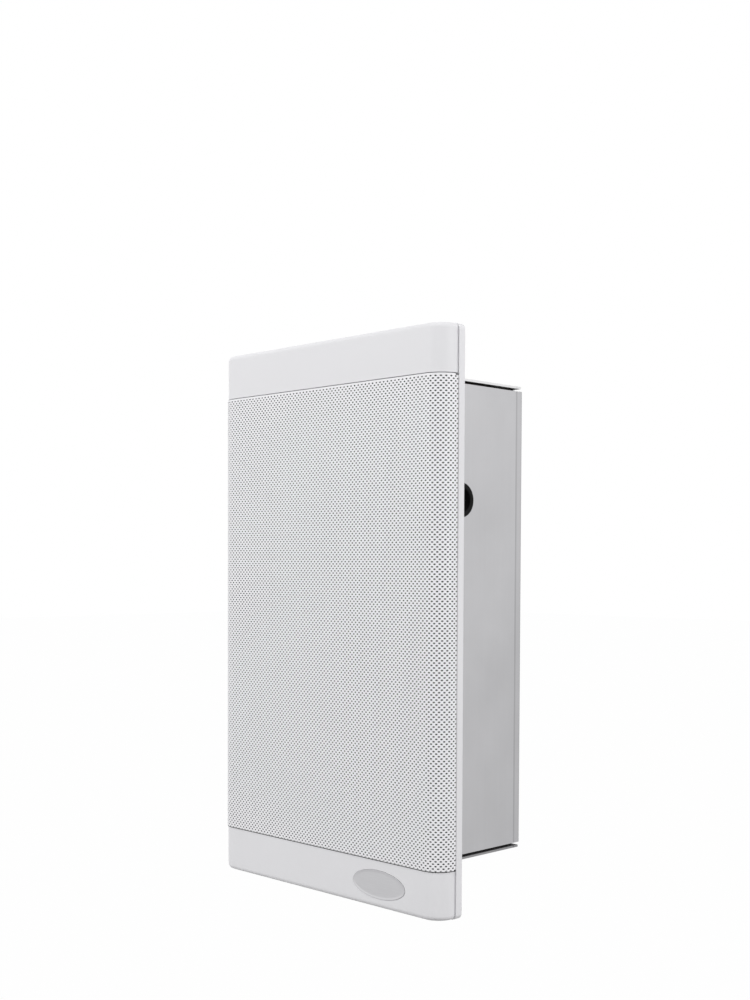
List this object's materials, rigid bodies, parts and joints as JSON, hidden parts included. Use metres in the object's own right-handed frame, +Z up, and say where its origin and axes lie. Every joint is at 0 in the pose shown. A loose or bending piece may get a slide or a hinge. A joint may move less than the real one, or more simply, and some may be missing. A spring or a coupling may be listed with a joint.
{
  "type": "wall speaker",
  "caption": "Flush wall loudspeaker: a moulded front with a round-sided punched grille over a cone driver, on a folded sheet tray that sits inside the wall, with a rubber cable entry.",
  "frame": {"origin": "middle of the flange's rear face, in the plane of the wall", "axes": "+X to the right seen from the front, +Y into the wall, so the front looks along -Y, +Z up"},
  "size_m": [0.178, 0.0908, 0.3014],
  "materials": {
    "white_moulding": "satin",
    "white_sheet": "satin",
    "dark_cloth": "matte",
    "silver_plate": "satin",
    "bare_steel": "satin",
    "black_rubber": "satin",
    "zinc_steel": "satin",
    "black_steel": "satin",
    "edge_cloth": "matte",
    "grey_paper": "matte",
    "felt": "matte",
    "copper_wire": "satin",
    "motor_steel": "satin",
    "ferrite": "matte",
    "brown_board": "matte",
    "tinned_brass": "satin",
    "core_iron": "satin",
    "wound_tape": "satin",
    "ceramic": "satin",
    "wadding": "matte"
  },
  "bodies": {
    "speaker": {"front_frame": "white_moulding", "grille": "white_sheet", "grille_cloth": "dark_cloth", "badge": "silver_plate", "back_box": "bare_steel", "cable_grommet": "black_rubber", "frame_screws": "zinc_steel", "driver_basket": "black_steel", "driver_surround": "edge_cloth", "driver_spider": "edge_cloth", "driver_top_plate": "motor_steel", "driver_magnet": "ferrite", "driver_pole_yoke": "motor_steel", "driver_terminal_board": "brown_board", "driver_terminal_tags": "tinned_brass", "driver_screws": "zinc_steel", "transformer_core": "core_iron", "transformer_winding": "wound_tape", "transformer_bracket": "zinc_steel", "terminal_block": "ceramic", "terminal_screws": "tinned_brass", "damping_pad": "wadding"},
    "cone": {"driver_cone": "grey_paper", "driver_dust_cap": "felt", "driver_voice_coil": "copper_wire"}
  },
  "joints": [
    {"name": "cone_travel", "type": "slide", "parent": "speaker", "child": "cone", "axis": [0, 1, 0], "range_m": [-0.003, 0.003], "stiffness_N_per_m": 1500, "deforming": ["driver_surround", "driver_spider"]}
  ]
}
